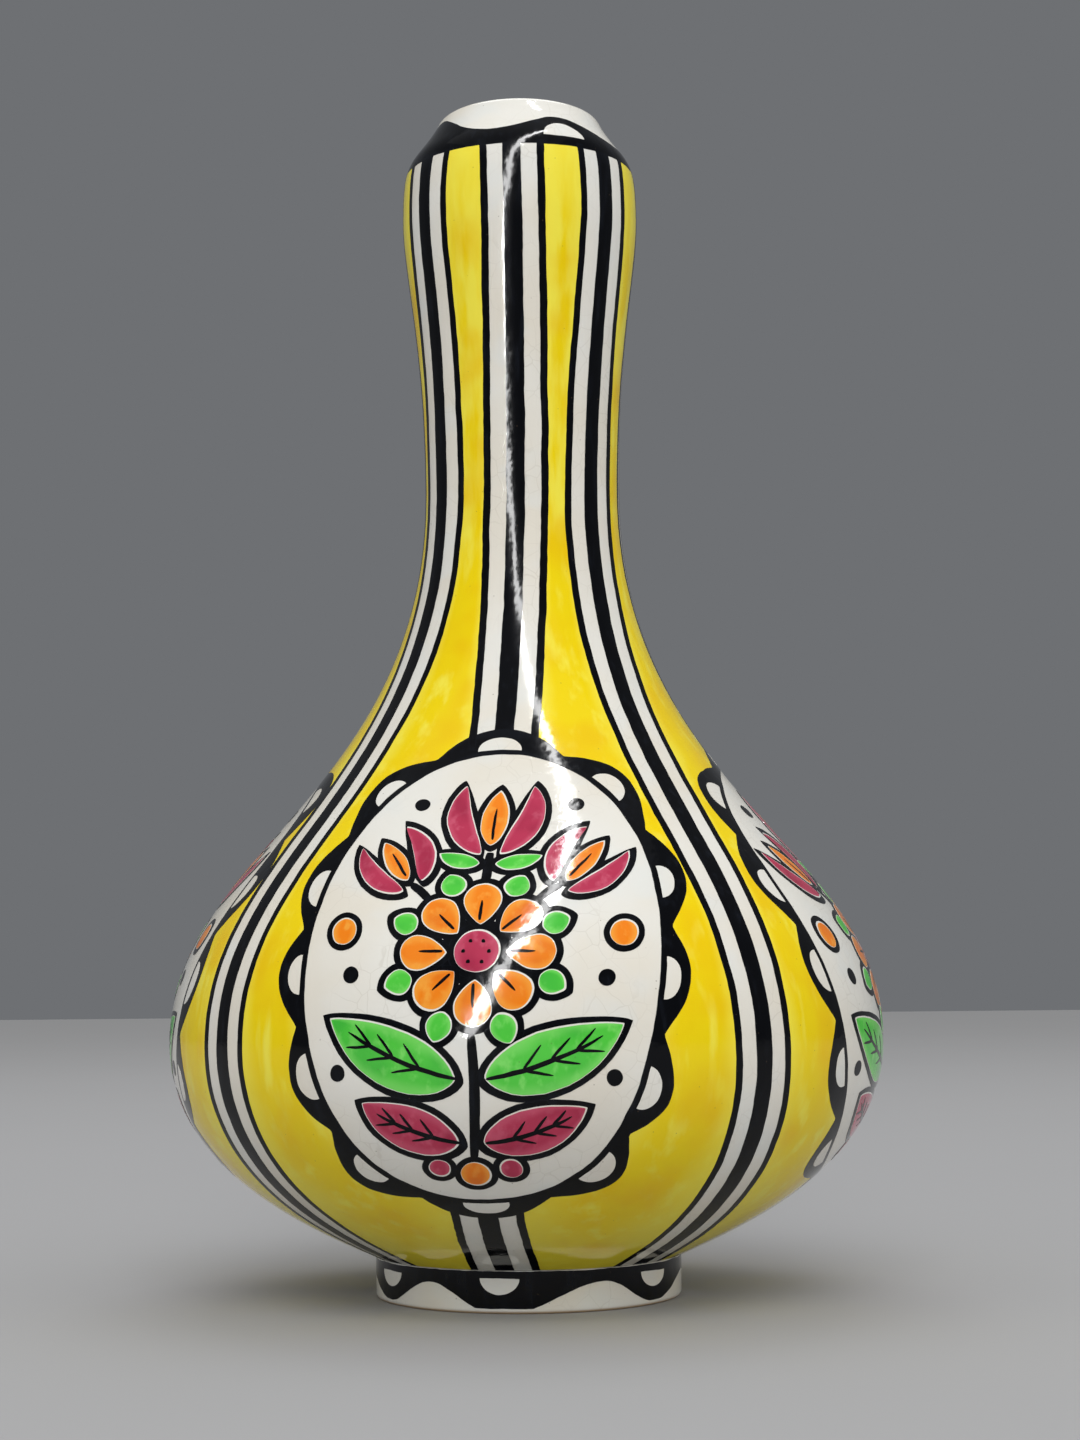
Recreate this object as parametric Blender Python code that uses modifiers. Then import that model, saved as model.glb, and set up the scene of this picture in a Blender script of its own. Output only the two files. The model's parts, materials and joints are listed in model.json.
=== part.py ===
"""A glazed earthenware bottle vase, modelled as a potter makes it: five turned sections, luted with slip.

One outer curve runs from the foot to the lip. Each section is a stretch of the wall under that curve, and the
sections meet in stepped seams: a tongue on the lower section stands inside a rebate in the upper one.
Units are metres, +Z is up, and the vase stands on the origin.
"""

import math

import bpy
import numpy as np

# Foot ring
FOOT_RADIUS = 0.0304        # outside of the ring, and of the body's edge on top of it
FOOT_HEIGHT = 0.0080        # from the table to the body
FOOT_WIDTH = 0.0070         # across the ring
FOOT_ROUND = 0.0010         # rounding of the ring's two lower edges
SEAT_DEPTH = 0.0020         # how far the boss under the body reaches down inside the ring

# Rises of the outer curve, from one station to the next
BELLY_RISE = 0.0425         # foot ring to the widest place
SHOULDER_RISE = 0.1105      # widest place to the waist of the neck
NECK_RISE = 0.0570          # waist of the neck to the bulge under the mouth
MOUTH_RISE = 0.0220         # bulge to the top of the lip

# Radii of the outer curve at those stations
BELLY_RADIUS = 0.0710
NECK_RADIUS = 0.0200
BULGE_RADIUS = 0.0244
LIP_RADIUS = 0.0150         # to the top of the rounded lip

# Slopes at the two ends of the curve, from level
BASE_FLARE = math.radians(25.0)
LIP_SLOPE = math.radians(60.0)

# Fullness of each curve: its lower and upper handle, as shares of its rise
BELLY_FULLNESS = (0.28, 0.61)
SHOULDER_FULLNESS = (0.34, 0.56)
NECK_FULLNESS = (0.53, 0.18)
MOUTH_FULLNESS = (0.67, 0.54)

# Wall and seams
WALL = 0.0045               # thickness, square to the outer curve
FLOOR_FILLET = 0.0120       # radius where the floor turns up into the wall
TONGUE = 0.0030             # height of a seam's tongue
SLIP_GAP = 0.0003           # film of slip between two sections
UPPER_BODY_RISE = 0.0700    # belly seam to the seam at the root of the neck
MOUTH_RING_DROP = 0.0170    # bulge down to the seam under the mouth ring

# Facets
TURN_STEPS = 48
LIP_SPANS = 6
ROUND_SPANS = 3
FLOOR_SPANS = 3
LOWER_BODY_SPANS = 10
UPPER_BODY_SPANS = 12
NECK_SPANS = 8
MOUTH_RING_SPANS = 9
CURVE_SAMPLES = 400
AXIS_MERGE = 0.00001        # points this near the axis become one

CREAM_GLAZE = (0.80, 0.77, 0.69, 1.0)
YELLOW_GLAZE = (0.84, 0.62, 0.01, 1.0)
GLAZE_ROUGHNESS = 0.15


class Wall:
    """The outer curve, walked by its length, with depths measured square to it."""

    def __init__(self, points):
        steps = np.linalg.norm(np.diff(points, axis=0), axis=1)
        self.lengths = np.concatenate([[0.0], np.cumsum(steps)])
        self.points = points
        tangents = np.gradient(points, self.lengths, axis=0)
        tangents /= np.linalg.norm(tangents, axis=1)[:, None]
        self.inward = np.stack([-tangents[:, 1], tangents[:, 0]], axis=1)

    def end(self):
        return self.lengths[-1]

    def length_at(self, height):
        return float(np.interp(height, self.points[:, 1], self.lengths))

    def inward_at(self, length):
        return np.array([np.interp(length, self.lengths, column) for column in self.inward.T])

    def at(self, length, depth):
        """Radius and height of the place this far up the curve and this deep in the wall."""
        place = np.array([np.interp(length, self.lengths, column) for column in self.points.T])
        return place + depth * self.inward_at(length)

    def run(self, start, end, depth, spans):
        return [self.at(length, depth) for length in np.linspace(start, end, spans + 1)]


def cubic(start, start_handle, end_handle, end):
    t = np.linspace(0.0, 1.0, CURVE_SAMPLES)[:, None]
    near = (1 - t) ** 3 * start + 3 * (1 - t) ** 2 * t * start_handle
    far = 3 * (1 - t) * t ** 2 * end_handle + t ** 3 * end
    return near + far


def arc(centre, radius, start, end, spans):
    """Points on an arc between two angles, which are measured from +X."""
    angles = np.linspace(start, end, spans + 1)
    return [centre + radius * np.array([math.cos(a), math.sin(a)]) for a in angles]


def belly_height():
    return FOOT_HEIGHT + BELLY_RISE


def bulge_height():
    return belly_height() + SHOULDER_RISE + NECK_RISE


def outer_curve():
    """The bottle's outline: a full belly, a long S into the waisted neck, a bulge that closes to the lip."""
    foot = np.array([FOOT_RADIUS, FOOT_HEIGHT])
    belly = np.array([BELLY_RADIUS, belly_height()])
    waist = np.array([NECK_RADIUS, belly_height() + SHOULDER_RISE])
    bulge = np.array([BULGE_RADIUS, bulge_height()])
    lip_round = WALL / 2
    lip_centre = np.array([LIP_RADIUS, bulge_height() + MOUTH_RISE - lip_round])
    lip = lip_centre + lip_round * np.array([math.sin(LIP_SLOPE), math.cos(LIP_SLOPE)])

    up = np.array([0.0, 1.0])
    flare = np.array([math.cos(BASE_FLARE), math.sin(BASE_FLARE)])
    closing = np.array([-math.cos(LIP_SLOPE), math.sin(LIP_SLOPE)])
    stations = [
        (foot, flare, belly, up, BELLY_RISE, BELLY_FULLNESS),
        (belly, up, waist, up, SHOULDER_RISE, SHOULDER_FULLNESS),
        (waist, up, bulge, up, NECK_RISE, NECK_FULLNESS),
        (bulge, up, lip, closing, MOUTH_RISE, MOUTH_FULLNESS),
    ]
    points = [foot[None, :]]
    for start, start_way, end, end_way, rise, (lower, upper) in stations:
        curve = cubic(start, start + lower * rise * start_way, end - upper * rise * end_way, end)
        points.append(curve[1:])
    return np.concatenate(points)


def rebate(wall, seam):
    """The stepped lower edge of a section, which stands over the tongue below it."""
    depth = (WALL - SLIP_GAP) / 2
    low = seam + SLIP_GAP / 2
    return [wall.at(low, depth), wall.at(low + TONGUE, depth)]


def tongue(wall, seam):
    """The stepped upper edge of a section, with its tongue on the inner half of the wall."""
    depth = (WALL + SLIP_GAP) / 2
    high = seam - SLIP_GAP / 2
    return [wall.at(high + TONGUE, depth), wall.at(high, depth)]


def ring_profile(wall, low_seam, high_seam, spans):
    """A section that is open at both ends, between two stepped seams."""
    low = low_seam + SLIP_GAP / 2
    high = high_seam - SLIP_GAP / 2
    outer = wall.run(high, low, 0.0, spans)
    inner = wall.run(low + TONGUE, high + TONGUE, WALL, spans)
    return outer + rebate(wall, low_seam) + inner + tongue(wall, high_seam)


def mouth_ring_profile(wall, low_seam):
    """The collar: its wall closes in at the top and ends in a half-round lip."""
    low = low_seam + SLIP_GAP / 2
    outer = wall.run(wall.end(), low, 0.0, MOUTH_RING_SPANS)
    inner = wall.run(low + TONGUE, wall.end(), WALL, MOUTH_RING_SPANS)
    into_wall = wall.inward_at(wall.end())
    inner_angle = math.atan2(into_wall[1], into_wall[0]) % math.tau
    lip = arc(wall.at(wall.end(), WALL / 2), WALL / 2, inner_angle, inner_angle - math.pi, LIP_SPANS)
    return outer + rebate(wall, low_seam) + inner + lip[1:-1]


def lower_body_profile(wall, high_seam):
    """The bowl: from the middle of its floor up the inside, over the seam, down the outside and under."""
    high = high_seam - SLIP_GAP / 2
    inner = wall.run(0.0, high + TONGUE, WALL, LOWER_BODY_SPANS)
    outer = wall.run(high, 0.0, 0.0, LOWER_BODY_SPANS)
    turn = BASE_FLARE
    tangent_length = FLOOR_FILLET * math.tan(turn / 2)
    floor_height = inner[0][1] - tangent_length * math.sin(turn)
    floor_edge = inner[0][0] - tangent_length * math.cos(turn) - tangent_length
    fillet_centre = np.array([floor_edge, floor_height + FLOOR_FILLET])
    fillet = arc(fillet_centre, FLOOR_FILLET, -math.pi / 2, turn - math.pi / 2, FLOOR_SPANS)
    boss_radius = FOOT_RADIUS - FOOT_WIDTH - SLIP_GAP
    recess_height = FOOT_HEIGHT - SEAT_DEPTH
    under = [(boss_radius, FOOT_HEIGHT), (boss_radius, recess_height), (0.0, recess_height)]
    return [(0.0, floor_height)] + fillet[:-1] + inner + tongue(wall, high_seam) + outer + under


def foot_ring_profile():
    """A plain ring with rounded lower edges and a flat face to stand on. The body's boss sits in its top."""
    top = FOOT_HEIGHT - SLIP_GAP
    inside = FOOT_RADIUS - FOOT_WIDTH
    outer_centre = np.array([FOOT_RADIUS - FOOT_ROUND, FOOT_ROUND])
    inner_centre = np.array([inside + FOOT_ROUND, FOOT_ROUND])
    outer_round = arc(outer_centre, FOOT_ROUND, 0.0, -math.pi / 2, ROUND_SPANS)
    inner_round = arc(inner_centre, FOOT_ROUND, -math.pi / 2, -math.pi, ROUND_SPANS)
    return [(FOOT_RADIUS, top)] + outer_round + inner_round + [(inside, top)]


def glaze(name, colour):
    material = bpy.data.materials.new(name)
    material.use_nodes = True
    shader = material.node_tree.nodes["Principled BSDF"]
    shader.inputs["Base Color"].default_value = colour
    shader.inputs["Roughness"].default_value = GLAZE_ROUGHNESS
    shader.inputs["Metallic"].default_value = 0.0
    return material


def turned(name, profile, closed, colour, collection, parent):
    """One section: its profile stands at +X, and a Screw modifier turns it round Z."""
    base = min(height for _, height in profile)
    points = [(radius, 0.0, height - base) for radius, height in profile]
    edges = [(i, i + 1) for i in range(len(points) - 1)]
    if closed:
        edges.append((len(points) - 1, 0))
    mesh = bpy.data.meshes.new(name)
    mesh.from_pydata(points, edges, [])
    mesh.materials.append(glaze(name, colour))
    section = bpy.data.objects.new(name, mesh)
    collection.objects.link(section)
    section.parent = parent
    section.location.z = base
    screw = section.modifiers.new("Turned on the wheel", "SCREW")
    screw.axis = "Z"
    screw.angle = math.tau
    screw.steps = TURN_STEPS
    screw.render_steps = TURN_STEPS
    screw.use_merge_vertices = True
    screw.merge_threshold = AXIS_MERGE
    screw.use_smooth_shade = True
    return section


def build_vase():
    for old in list(bpy.data.objects):
        bpy.data.objects.remove(old)
    collection = bpy.data.collections.new("vase")
    bpy.context.scene.collection.children.link(collection)
    axis = bpy.data.objects.new("vase_axis", None)
    collection.objects.link(axis)

    wall = Wall(outer_curve())
    belly_seam = wall.length_at(belly_height())
    neck_seam = wall.length_at(belly_height() + UPPER_BODY_RISE)
    mouth_seam = wall.length_at(bulge_height() - MOUTH_RING_DROP)

    turned("foot_ring", foot_ring_profile(), True, CREAM_GLAZE, collection, axis)
    turned("lower_body", lower_body_profile(wall, belly_seam), False, YELLOW_GLAZE, collection, axis)
    upper_body = ring_profile(wall, belly_seam, neck_seam, UPPER_BODY_SPANS)
    turned("upper_body", upper_body, True, YELLOW_GLAZE, collection, axis)
    neck = ring_profile(wall, neck_seam, mouth_seam, NECK_SPANS)
    turned("neck", neck, True, YELLOW_GLAZE, collection, axis)
    turned("mouth_ring", mouth_ring_profile(wall, mouth_seam), True, CREAM_GLAZE, collection, axis)


build_vase()
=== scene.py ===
# %% [markdown]
# # A painted bottle vase
# The real object is one piece of fired earthenware. A potter throws five sections, joins them with slip and
# wipes the seams away. A cream glaze covers everything, and a painter lays coloured enamel on it with a
# brush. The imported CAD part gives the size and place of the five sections. This script dresses them: first
# the glazed clay, then the enamel as thin coats that lie on it, then light and camera.

# %% Load the frame
import json
import math
import random

import bpy
import numpy as np
from mathutils import Matrix, Vector
from mathutils.geometry import interpolate_bezier

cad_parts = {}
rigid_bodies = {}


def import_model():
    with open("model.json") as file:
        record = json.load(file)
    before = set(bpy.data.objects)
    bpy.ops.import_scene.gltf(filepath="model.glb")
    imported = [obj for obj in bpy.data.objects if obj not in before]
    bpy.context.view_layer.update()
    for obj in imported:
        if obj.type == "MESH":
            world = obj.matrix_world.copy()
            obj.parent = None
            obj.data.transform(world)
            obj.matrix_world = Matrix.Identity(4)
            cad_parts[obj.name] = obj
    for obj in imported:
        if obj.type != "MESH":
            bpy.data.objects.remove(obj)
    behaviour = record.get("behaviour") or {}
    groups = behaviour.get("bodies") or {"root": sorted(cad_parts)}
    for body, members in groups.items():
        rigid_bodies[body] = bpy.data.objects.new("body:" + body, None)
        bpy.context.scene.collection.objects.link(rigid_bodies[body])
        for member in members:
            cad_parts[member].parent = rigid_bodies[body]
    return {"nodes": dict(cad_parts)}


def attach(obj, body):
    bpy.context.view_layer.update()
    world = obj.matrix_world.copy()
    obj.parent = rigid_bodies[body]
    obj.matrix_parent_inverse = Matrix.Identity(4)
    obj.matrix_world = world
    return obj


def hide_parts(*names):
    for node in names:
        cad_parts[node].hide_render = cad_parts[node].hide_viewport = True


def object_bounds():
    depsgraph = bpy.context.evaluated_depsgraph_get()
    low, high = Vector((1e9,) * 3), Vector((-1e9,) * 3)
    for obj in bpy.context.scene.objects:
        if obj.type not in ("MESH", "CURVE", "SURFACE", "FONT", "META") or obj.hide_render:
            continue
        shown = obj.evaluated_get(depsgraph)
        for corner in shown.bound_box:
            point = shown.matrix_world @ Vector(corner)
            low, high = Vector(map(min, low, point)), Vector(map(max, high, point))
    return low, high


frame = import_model()
cad_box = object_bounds()
MM = 0.001
print("CAD nodes:", ", ".join(sorted(frame["nodes"])))
print("CAD box in mm:", [round(side / MM, 1) for side in cad_box[1] - cad_box[0]])

# %% [markdown]
# ## Nodes written as sums
# Shapes and finishes below are both made by node trees. Wiring nodes one by one hides the idea behind them,
# so one small class wraps a node's output and lets Python's own operators add the Math nodes. Every other
# kind of node comes from one method.


# %% Helpers for node trees
def in_use(sockets, key):
    """A node's socket by its place or its name, or else the first. Unchosen data types don't count."""
    if isinstance(key, int):
        return sockets[key]
    return next(s for s in sockets if s.enabled and key in (None, s.name))


class Sock:
    """One output of a node. Arithmetic on it adds Math nodes to the same tree."""

    def __init__(self, graph, socket):
        self.graph = graph
        self.socket = socket

    def of(self, name):
        """Another output of the same node."""
        return Sock(self.graph, in_use(self.socket.node.outputs, name))

    def __add__(self, other):
        return self.graph.math("ADD", self, other)

    def __sub__(self, other):
        return self.graph.math("SUBTRACT", self, other)

    def __rsub__(self, other):
        return self.graph.math("SUBTRACT", other, self)

    def __mul__(self, other):
        return self.graph.math("MULTIPLY", self, other)

    def __truediv__(self, other):
        return self.graph.math("DIVIDE", self, other)

    def __rtruediv__(self, other):
        return self.graph.math("DIVIDE", other, self)

    __radd__ = __add__
    __rmul__ = __mul__


class Graph:
    """A node tree that is being written."""

    def __init__(self, tree):
        self.tree = tree

    def feed(self, socket, value):
        """Gives a socket a link, several links, or a plain value."""
        links = value if isinstance(value, list) else [value]
        for link in links:
            if isinstance(link, Sock):
                self.tree.links.new(link.socket, socket)
            else:
                socket.default_value = link

    def node(self, kind, inputs=None, out=None, family="ShaderNode", **settings):
        """One output of a new node."""
        node = self.tree.nodes.new(family + kind)
        for name, value in settings.items():
            setattr(node, name, value)
        for key, value in (inputs or {}).items():
            self.feed(in_use(node.inputs, key), value)
        return Sock(self, in_use(node.outputs, out))

    def math(self, operation, first, second=0.0):
        return self.node("Math", {0: first, 1: second}, operation=operation)

    def parts(self, vector):
        """A vector taken apart: its X, and its Y and Z by of()."""
        return self.node("SeparateXYZ", {"Vector": vector})

    def blend(self, share, first, second):
        return self.node("Mix", {"Factor": share, "A": first, "B": second}, data_type="RGBA")


# %% Helpers for shapes
SHARP_ANGLE = math.radians(40.0)


class ShapeGraph(Graph):
    """A Geometry Nodes tree with named inputs, and a geometry at its entry and its exit."""

    def __init__(self, name):
        super().__init__(bpy.data.node_groups.new(name, "GeometryNodeTree"))
        self.entry = self.tree.nodes.new("NodeGroupInput")
        self.geometry = self.input("Geometry", "Geometry")

    def input(self, name, kind):
        self.tree.interface.new_socket(name, in_out="INPUT", socket_type="NodeSocket" + kind)
        return Sock(self, self.entry.outputs[name])

    def step(self, kind, inputs=None, out=None, **settings):
        """A node of a kind that only Geometry Nodes have."""
        return self.node(kind, inputs, out, "GeometryNode", **settings)

    def count(self):
        """How many points the tree is given."""
        return self.step("AttributeDomainSize", {"Geometry": self.geometry}, component="MESH")

    def given(self, index):
        """The place of one of those points."""
        inputs = {"Geometry": self.geometry, "Value": self.step("InputPosition"), "Index": index}
        return self.step("SampleIndex", inputs, data_type="FLOAT_VECTOR")

    def store(self, geometry, name, kind, value, domain="POINT"):
        inputs = {"Geometry": geometry, "Name": name, "Value": value}
        return self.step("StoreNamedAttribute", inputs, data_type=kind, domain=domain)

    def stored(self, name, kind):
        return self.step("InputNamedAttribute", {"Name": name}, data_type=kind)

    def join(self, geometry, distance):
        """Makes one point of those that lie this close together."""
        return self.step("MergeByDistance", {"Geometry": geometry, "Distance": distance})

    def turned(self, radius, angle, height):
        """A place round the vase's axis. Angle 0 is the front, and angles grow towards the right."""
        aside = radius * self.math("SINE", angle)
        ahead = radius * self.math("COSINE", angle)
        return self.node("CombineXYZ", {"X": aside, "Y": 0.0 - ahead, "Z": height})

    def finish(self, geometry, material):
        """Smooth faces, sharp edges where two of them meet steeply, no instances left, one material."""
        smooth = self.step("SetShadeSmooth", {"Geometry": geometry, "Shade Smooth": True})
        steep = self.math("GREATER_THAN", self.step("InputMeshEdgeAngle"), SHARP_ANGLE)
        edges = {"Geometry": smooth, "Selection": steep, "Shade Smooth": False}
        edged = self.step("SetShadeSmooth", edges, domain="EDGE")
        real = self.step("RealizeInstances", {"Geometry": edged})
        done = self.step("SetMaterial", {"Geometry": real, "Material": material})
        self.tree.interface.new_socket("Geometry", in_out="OUTPUT", socket_type="NodeSocketGeometry")
        leave = self.tree.nodes.new("NodeGroupOutput")
        self.feed(leave.inputs["Geometry"], done)
        return self.tree


def placed(name, data):
    """An object of this data, in the scene."""
    piece = bpy.data.objects.new(name, data)
    bpy.context.scene.collection.objects.link(piece)
    return piece


def grow(name, points, tree, values):
    """An object whose loose points the tree turns into a mesh. The modifier doesn't stay."""
    mesh = bpy.data.meshes.new(name)
    mesh.from_pydata([tuple(point) for point in points], [], [])
    piece = placed(name, mesh)
    modifier = piece.modifiers.new(tree.name, "NODES")
    modifier.node_group = tree
    sockets = {item.name: item.identifier for item in tree.interface.items_tree if item.in_out == "INPUT"}
    for label, value in values.items():
        modifier[sockets[label]] = value
    grown = piece.evaluated_get(bpy.context.evaluated_depsgraph_get())
    piece.data = bpy.data.meshes.new_from_object(grown)
    piece.data.name = name
    piece.modifiers.clear()
    bpy.data.meshes.remove(mesh)
    return piece


# %% [markdown]
# ## The finishes
# Glazed earthenware is clay under glass. The glass is smooth, so gloss comes from a low roughness, and what
# tells one glaze from another is its colour: it is pale where the brush ran thin, deep where it pooled, and
# never quite even. Photographs of a glaze would do that, but they carry the light of their day. Noise on
# Object coordinates gives the same unevenness from any side, at the scale of the real brush.

# %% Helpers for the finishes
WAVE_SIZE = 7.0 * MM
WAVE_HEIGHT = 0.06 * MM
DIMPLE_SIZE = 1.6 * MM
DIMPLE_HEIGHT = 0.022 * MM
SPECK_EDGE = (0.05, 0.11)
GLASS_ROUGHNESS = 0.06


def colour(red, green, blue):
    """A screen colour, 0 to 255, as the linear colour that a shader wants."""
    screen = np.array([red, green, blue]) / 255.0
    linear = np.where(screen <= 0.04045, screen / 12.92, ((screen + 0.055) / 1.055) ** 2.4)
    return (*(float(part) for part in linear), 1.0)


class Finish(Graph):
    """A material: its graph, its shader, and the Object coordinates that its patterns read."""

    def __init__(self, name):
        self.material = bpy.data.materials.new(name)
        self.material.use_nodes = True
        super().__init__(self.material.node_tree)
        self.shader = self.tree.nodes["Principled BSDF"]
        self.place = self.node("TexCoord", out="Object")

    def set(self, socket, value):
        self.feed(self.shader.inputs[socket], value)

    def moved(self, seed, stretch=1.0):
        """The coordinates moved aside, so that two patterns differ, and drawn out along the vase."""
        inputs = {"Vector": self.place, "Location": (seed, seed, seed), "Scale": (1.0, 1.0, 1.0 / stretch)}
        return self.node("Mapping", inputs)

    def noise(self, size, detail, stretch=1.0, seed=0.0):
        """Soft noise from 0 to 1, with lumps of this size in metres, drawn out along the vase."""
        inputs = {"Vector": self.moved(seed, stretch), "Scale": 1.0 / size, "Detail": detail}
        return self.node("TexNoise", inputs)

    def between(self, value, low, high):
        """0 below low, 1 above high, and a soft step between them."""
        inputs = {"Value": value, "From Min": low, "From Max": high}
        return self.node("MapRange", inputs, interpolation_type="SMOOTHSTEP")

    def specks(self, size, share, seed):
        """1 in small round specks, about this size in metres, in this share of a grid's cells."""
        inputs = {"Vector": self.moved(seed), "Scale": 2.0 * SPECK_EDGE[1] / size}
        cells = self.node("TexVoronoi", inputs)
        chosen = self.node("SeparateColor", {"Color": cells.of("Color")})
        return (1.0 - self.between(cells, *SPECK_EDGE)) * self.math("LESS_THAN", chosen, share)

    def uneven_glass(self):
        """Height, in metres, of the slow waves and the fine dimples in a poured glaze."""
        waves = self.noise(WAVE_SIZE, detail=2.0, seed=9.0) * WAVE_HEIGHT
        return waves + self.noise(DIMPLE_SIZE, detail=1.0, seed=6.0) * DIMPLE_HEIGHT

    def ripple(self, height):
        """Lets a height, in metres, tip the surface a little."""
        inputs = {"Strength": 1.0, "Distance": 1.0, "Height": height}
        self.set("Normal", self.node("Bump", inputs))


# %% [markdown]
# The cream glaze is what shows wherever there is no paint: the lip, the white stripes, the ovals, the foot
# and the inside. It has faint warm clouds, a few iron specks, and fine craze lines, the net of cracks that
# old glaze grows as it shrinks on its clay. A Voronoi texture's distance to edge draws such a net; noise
# keeps it to some parts. The foot stands on bare biscuit, because a glazed foot would fuse to the kiln
# shelf.

# %% Cream glaze with craze lines
CREAM = colour(235, 233, 226)
CREAM_WARM = colour(231, 225, 212)
CREAM_COOL = colour(229, 231, 228)
CRAZE_STAIN = colour(150, 138, 116)
IRON_SPECK = colour(96, 78, 60)
BISCUIT = colour(196, 168, 132)
WARM_SIZE = 30.0 * MM
WARM_RANGE = (0.38, 0.68)
COOL_SIZE = 12.0 * MM
COOL_RANGE = (0.52, 0.72)
COOL_SHOWS = 0.6
STAIN_SIZE = 18.0 * MM
STAIN_RANGE = (0.42, 0.66)
GLOSS_SIZE = 4.0 * MM
GLOSS_SWING = 0.05
CRACKS_PER_METRE = 260.0
CRACK_EDGE = (0.004, 0.030)
CRACK_SHOWS = 0.15
CRACK_DEPTH = 0.006 * MM
BENDS_PER_METRE = 220.0
BEND = 1.6 * MM
SPECK_SIZE = 0.35 * MM
SPECK_SHARE = 0.10
SPECK_SHOWS = 0.5
BARE_FOOT = (0.2 * MM, 0.7 * MM)
BISCUIT_ROUGHNESS = 0.66


def cream_glaze():
    f = Finish("cream glaze")
    warm = f.between(f.noise(WARM_SIZE, detail=3.0), *WARM_RANGE)
    cool = f.between(f.noise(COOL_SIZE, detail=2.0, seed=3.0), *COOL_RANGE)
    base = f.blend(cool * COOL_SHOWS, f.blend(warm, CREAM, CREAM_WARM), CREAM_COOL)
    bends = {"Vector": f.place, "Scale": BENDS_PER_METRE, "Detail": 2.0}
    wander = f.node("TexNoise", bends, "Color")
    shift = {0: wander, 1: (BEND, BEND, BEND), 2: f.place}
    bent = f.node("VectorMath", shift, operation="MULTIPLY_ADD")
    net = {"Vector": bent, "Scale": CRACKS_PER_METRE}
    cells = f.node("TexVoronoi", net, feature="DISTANCE_TO_EDGE")
    stained = f.between(f.noise(STAIN_SIZE, detail=1.0, seed=7.0), *STAIN_RANGE)
    crack = (1.0 - f.between(cells, *CRACK_EDGE)) * stained
    base = f.blend(crack * CRACK_SHOWS, base, CRAZE_STAIN)
    base = f.blend(f.specks(SPECK_SIZE, SPECK_SHARE, seed=1.0) * SPECK_SHOWS, base, IRON_SPECK)
    bare = 1.0 - f.between(f.parts(f.place).of("Z"), *BARE_FOOT)
    f.set("Base Color", f.blend(bare, base, BISCUIT))
    uneven = f.noise(GLOSS_SIZE, detail=2.0, seed=5.0) * GLOSS_SWING
    f.set("Roughness", bare * BISCUIT_ROUGHNESS + uneven + GLASS_ROUGHNESS)
    f.ripple(f.uneven_glass() - crack * CRACK_DEPTH)
    return f.material


# %% [markdown]
# The enamels share one recipe: three tones of the colour, laid by noise that is drawn out along the brush,
# with a few pits where a bubble burst. Wet enamel draws back from the edge of a field, so it is paler
# there. An attribute that the shapes below carry, "from edge", grows from 0 at a mark's edge to 1 in its
# middle. Up the yellow neck, above a set height, more of the thin tone shows. Yellow and black hold
# more pigment and less glass than the others, so they mirror less. A row below holds an enamel's tones, its
# pale edge and its brush.

# %% Brushed enamels
CLOUD_PER_LUMP = 4.0
# How far the yellow takes to turn paler up the neck, and how much more of the thin tone then shows.
PALER_RUN = 20.0 * MM
PALER_SHIFT = 0.15
THIN_RANGE = (0.50, 0.74)
POOL_RANGE = (0.44, 0.72)
POOL_SHOWS = 0.8
EDGE_SHOWS = 0.75
PIT_SIZE = 0.3 * MM
PIT_SHARE = 0.12
PIT_SHOWS = 0.45
BRUSH_DULLS = 0.06
BRUSH_RIDGE = 0.008 * MM
YELLOW_BRUSH = {"stroke": 5.0, "lump": 3.5 * MM, "thin_above": 140.0 * MM, "gloss": 0.36}
BLACK_BRUSH = {"stroke": 6.0, "lump": 1.6 * MM, "gloss": 0.2}
POSY_BRUSH = {"stroke": 1.5, "lump": 2.2 * MM}
ENAMELS = {
    "yellow": (((250, 235, 76), (246, 217, 6), (242, 199, 2)), 0.5, YELLOW_BRUSH),
    "black": (((16, 19, 26), (5, 6, 10), (3, 4, 8)), 0.1, BLACK_BRUSH),
    "green": (((128, 226, 104), (82, 207, 66), (60, 184, 58)), 0.5, POSY_BRUSH),
    "orange": (((250, 166, 58), (247, 134, 16), (226, 108, 14)), 0.6, POSY_BRUSH),
    "crimson": (((204, 84, 112), (186, 50, 84), (158, 32, 66)), 0.5, POSY_BRUSH),
}


def brushed_enamel(name, tones, rim, stroke, lump, thin_above=1.0, gloss=0.5):
    """Enamel of a thin, a full and a pooled tone. From a height in metres on, the thin one shows more."""
    thin, full, pooled = (colour(*tone) for tone in tones)
    f = Finish(name)
    brush = f.noise(lump, detail=3.0, stretch=stroke)
    cloud = f.noise(lump * CLOUD_PER_LUMP, detail=2.0, seed=4.0)
    from_edge = f.node("Attribute", out="Fac", attribute_name="from edge")
    drawn_back = 1.0 - f.between(from_edge + (cloud - 0.5) * rim, 0.0, rim)
    # Paler yellow up the neck: above thin_above, more of the thin tone shows.
    up_neck = f.between(f.parts(f.place).of("Z"), thin_above, thin_above + PALER_RUN)
    base = f.blend(f.between(brush + up_neck * PALER_SHIFT, *THIN_RANGE), full, thin)
    base = f.blend(f.between(cloud, *POOL_RANGE) * POOL_SHOWS, base, pooled)
    base = f.blend(drawn_back * EDGE_SHOWS, base, thin)
    base = f.blend(f.specks(PIT_SIZE, PIT_SHARE, seed=2.0) * PIT_SHOWS, base, IRON_SPECK)
    f.set("Base Color", base)
    f.set("Roughness", brush * BRUSH_DULLS + GLASS_ROUGHNESS)
    f.set("Specular IOR Level", gloss)
    f.ripple(f.uneven_glass() + brush * BRUSH_RIDGE)
    return f.material


finishes = {"cream_glaze": cream_glaze()}
for paint, (tones, rim, brush) in ENAMELS.items():
    finishes[paint + "_enamel"] = brushed_enamel(paint + " enamel", tones, rim, **brush)
print("finishes:", ", ".join(finishes))

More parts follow.
